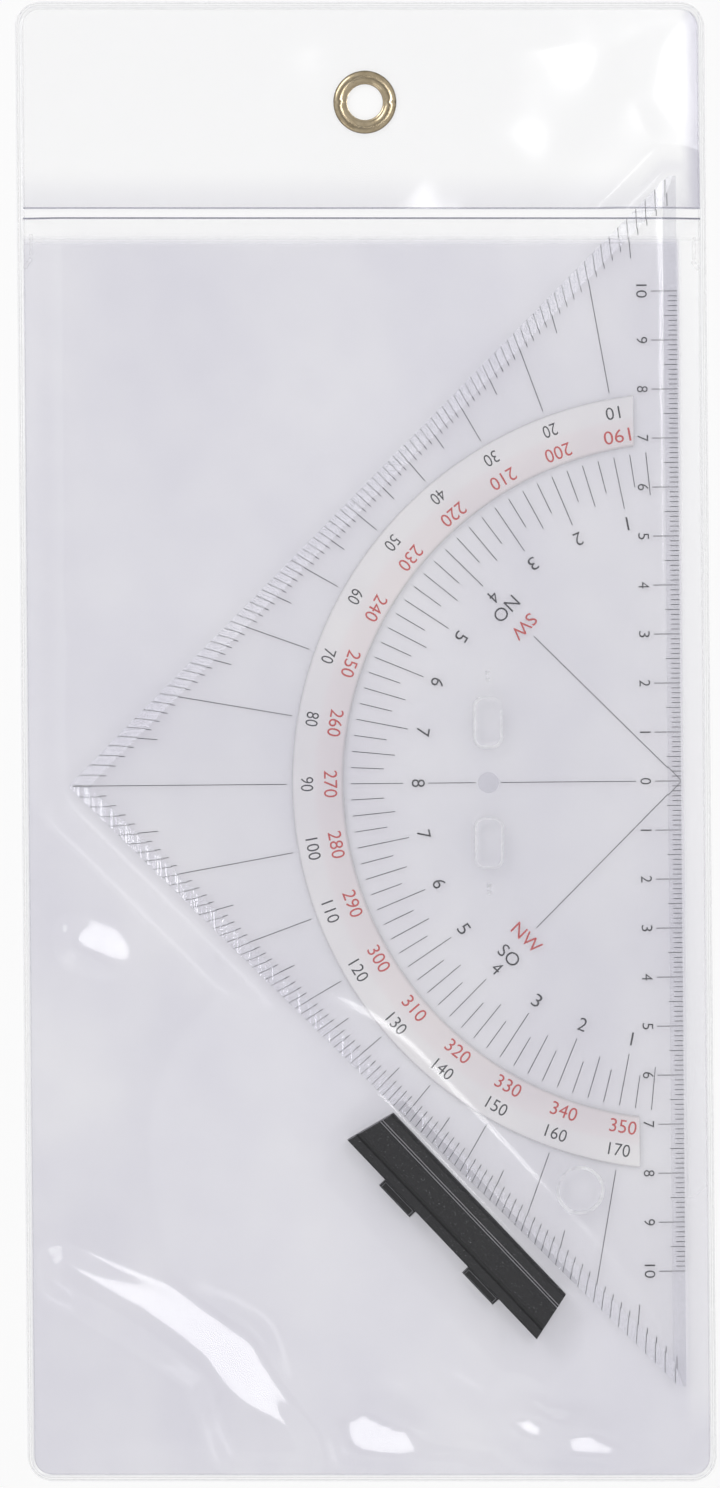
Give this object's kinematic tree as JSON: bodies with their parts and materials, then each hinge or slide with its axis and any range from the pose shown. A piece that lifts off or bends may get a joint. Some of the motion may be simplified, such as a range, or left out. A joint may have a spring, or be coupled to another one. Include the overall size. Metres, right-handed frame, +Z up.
{
  "type": "navigation set square",
  "caption": "Clear navigation set square with degree, compass point and centimetre scales and a removable grip, in a clear pocket wallet with a hanging eyelet.",
  "frame": {"origin": "under the middle of the wallet, on the surface it lies on", "axes": "+X to the right across the wallet, +Y along it towards the eyelet, +Z up, out of the wallet's front"},
  "size_m": [0.1406, 0.302, 0.0088],
  "materials": {
    "film": "clear soft vinyl film, glossy, faintly violet-grey",
    "acrylic": "clear polished acrylic with bright bevels",
    "frosted_print": "frosted white band with a pinkish inner half",
    "ink": "black screen print",
    "brass": "antique brass, rolled and polished",
    "black_plastic": "satin black moulded plastic with fine specks of dust"
  },
  "bodies": {
    "wallet": {"wallet_back": "film", "pocket_front": "film", "mouth_hem": "film", "header_front": "film", "edge_weld": "film", "eyelet": "brass", "eyelet_washer": "brass"},
    "set_square": {"plate": "acrylic", "degree_band": "frosted_print", "hypotenuse_scale": "ink", "degree_scale": "ink", "compass_scale": "ink", "direction_lines": "ink"},
    "grip": {"handle": "black_plastic"}
  },
  "joints": [
    {"name": "square_slide", "type": "slide", "parent": "wallet", "child": "set_square", "axis": [0, 1, 0], "range_m": [0, 0.24], "deforming": ["header_front"]},
    {"name": "handle_slip", "type": "slide", "parent": "wallet", "child": "grip", "axis": [0, -1, 0], "range_m": [0, 0.006]}
  ]
}
